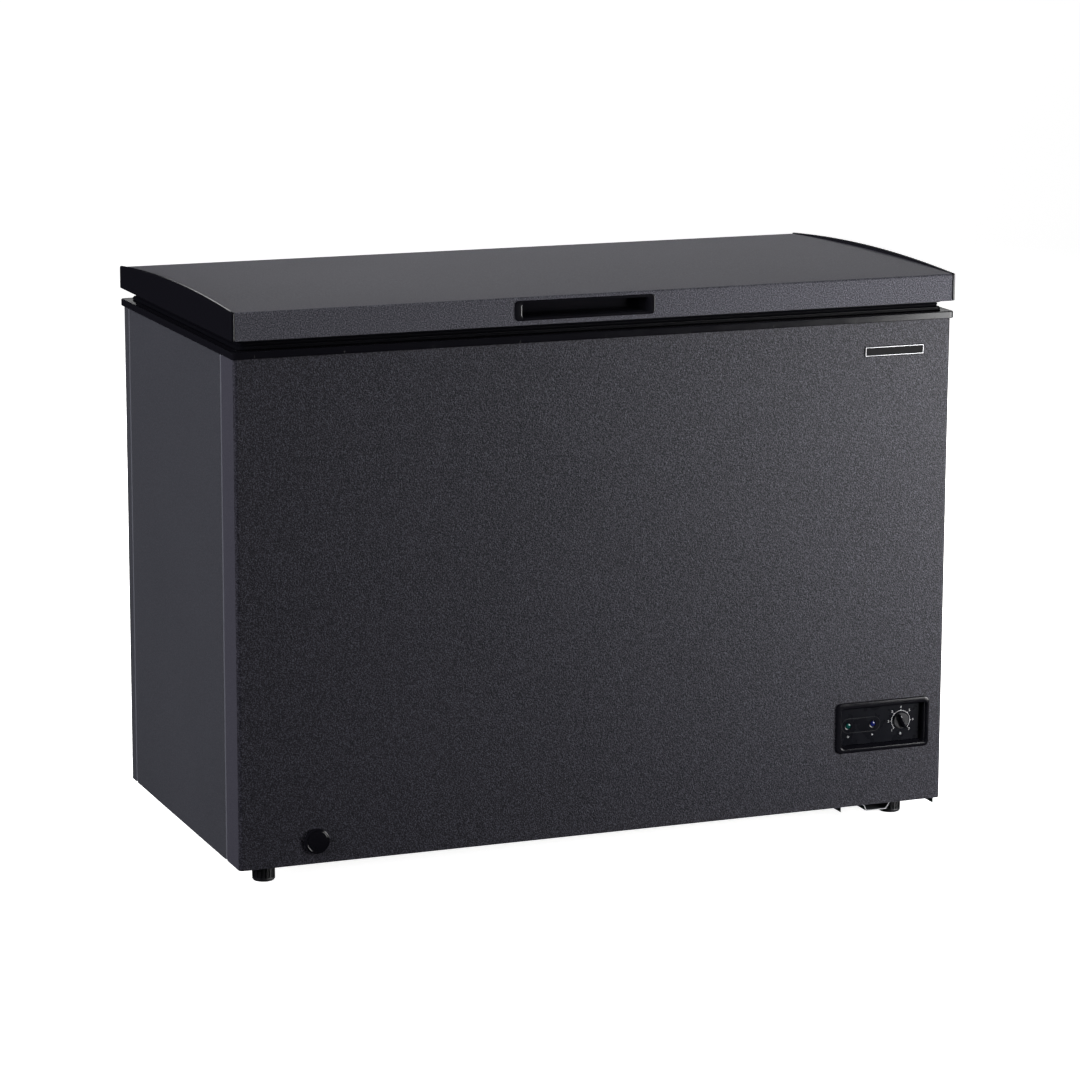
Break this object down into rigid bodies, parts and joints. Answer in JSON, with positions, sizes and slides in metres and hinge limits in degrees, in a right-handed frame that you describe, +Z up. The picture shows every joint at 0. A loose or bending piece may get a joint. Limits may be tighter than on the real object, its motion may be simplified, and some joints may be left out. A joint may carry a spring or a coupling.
{
  "type": "chest freezer",
  "caption": "Foam-insulated steel chest freezer with a hinged lid, hanging wire basket, compressor bay, dial control and levelling feet.",
  "frame": {"origin": "centre of the footprint, on the floor under the feet", "axes": "+X to the right as seen from the front, across the lid; +Y to the back, where the hinges are; +Z up"},
  "size_m": [1.125, 0.586, 0.8383],
  "materials": {
    "textured_paint": "satin",
    "galvanised_sheet": "satin",
    "gloss_black_plastic": "gloss",
    "matte_black_plastic": "matte",
    "black_rubber": "matte",
    "insulating_foam": "matte",
    "white_liner": "satin",
    "white_plastic": "satin",
    "black_enamel": "gloss",
    "copper": "satin",
    "aluminium_tube": "satin",
    "bright_steel": "polished",
    "green_lens": "gloss",
    "blue_lens": "gloss",
    "circuit_board": "satin"
  },
  "bodies": {
    "cabinet": {"front_panel": "textured_paint", "rear_panel": "textured_paint", "left_side_panel": "textured_paint", "right_side_panel": "textured_paint", "bottom_panel": "galvanised_sheet", "machine_room_partition": "galvanised_sheet", "base_plate": "galvanised_sheet", "rear_cover": "galvanised_sheet", "hinge_bracket_left": "galvanised_sheet", "hinge_bracket_right": "galvanised_sheet", "top_collar": "gloss_black_plastic", "badge_plate": "gloss_black_plastic", "control_bezel": "gloss_black_plastic", "control_fascia": "gloss_black_plastic", "side_vent_grille": "matte_black_plastic", "relay_cover": "matte_black_plastic", "cord_gland": "black_rubber", "compressor_grommet_1": "black_rubber", "compressor_grommet_2": "black_rubber", "compressor_grommet_3": "black_rubber", "compressor_grommet_4": "black_rubber", "cabinet_foam": "insulating_foam", "inner_liner": "white_liner", "thermostat_body": "white_plastic", "drain_tube": "white_plastic", "compressor": "black_enamel", "condenser_coil": "copper", "suction_tube": "copper", "discharge_tube": "copper", "capillary_tube": "copper", "filter_drier": "copper", "evaporator_coil": "aluminium_tube", "hinge_pin_left": "bright_steel", "hinge_pin_right": "bright_steel", "hinge_spring_left": "bright_steel", "hinge_spring_right": "bright_steel", "rear_cover_screw_1": "bright_steel", "rear_cover_screw_2": "bright_steel", "rear_cover_screw_3": "bright_steel", "rear_cover_screw_4": "bright_steel", "power_lens": "green_lens", "run_lens": "blue_lens", "indicator_board": "circuit_board"},
    "lid": {"lid_outer_panel": "textured_paint", "lid_end_cap_left": "gloss_black_plastic", "lid_end_cap_right": "gloss_black_plastic", "lid_handle_cup": "gloss_black_plastic", "lid_foam": "insulating_foam", "lid_inner_liner": "white_liner", "lid_gasket": "black_rubber", "hinge_lever_left": "galvanised_sheet", "hinge_lever_right": "galvanised_sheet"},
    "knob": {"thermostat_knob": "gloss_black_plastic"},
    "outer_drain_cap": {"drain_cap": "gloss_black_plastic"},
    "inner_drain_plug": {"drain_plug": "white_plastic"},
    "basket": {"storage_basket": "white_plastic"},
    "foot_front_left_body": {"foot_front_left": "matte_black_plastic"},
    "foot_front_right_body": {"foot_front_right": "matte_black_plastic"},
    "foot_rear_left_body": {"foot_rear_left": "matte_black_plastic"},
    "foot_rear_right_body": {"foot_rear_right": "matte_black_plastic"}
  },
  "joints": [
    {"name": "lid_hinge", "type": "hinge", "parent": "cabinet", "child": "lid", "pos_m": [0, 0.281, 0.795], "axis": [-1, 0, 0], "range_deg": [0, 85]},
    {"name": "thermostat_turn", "type": "hinge", "parent": "cabinet", "child": "knob", "pos_m": [0.4935, -0.279, 0.1508], "axis": [0, 1, 0], "range_deg": [-155, 160]},
    {"name": "outer_drain_cap_pull", "type": "slide", "parent": "cabinet", "child": "outer_drain_cap", "axis": [0, -1, 0], "range_m": [0, 0.03]},
    {"name": "inner_drain_plug_lift", "type": "slide", "parent": "cabinet", "child": "inner_drain_plug", "axis": [0, 0, 1], "range_m": [0, 0.03]},
    {"name": "basket_slide", "type": "slide", "parent": "cabinet", "child": "basket", "axis": [1, 0, 0], "range_m": [-0.7, 0]},
    {"name": "foot_front_left_turn", "type": "hinge", "parent": "cabinet", "child": "foot_front_left_body", "pos_m": [-0.5115, -0.251, 0], "axis": [0, 0, 1], "continuous": true},
    {"name": "foot_front_right_turn", "type": "hinge", "parent": "cabinet", "child": "foot_front_right_body", "pos_m": [0.4965, -0.241, 0], "axis": [0, 0, 1], "continuous": true},
    {"name": "foot_rear_left_turn", "type": "hinge", "parent": "cabinet", "child": "foot_rear_left_body", "pos_m": [-0.5115, 0.229, 0], "axis": [0, 0, 1], "continuous": true},
    {"name": "foot_rear_right_turn", "type": "hinge", "parent": "cabinet", "child": "foot_rear_right_body", "pos_m": [0.4965, 0.219, 0], "axis": [0, 0, 1], "continuous": true}
  ]
}
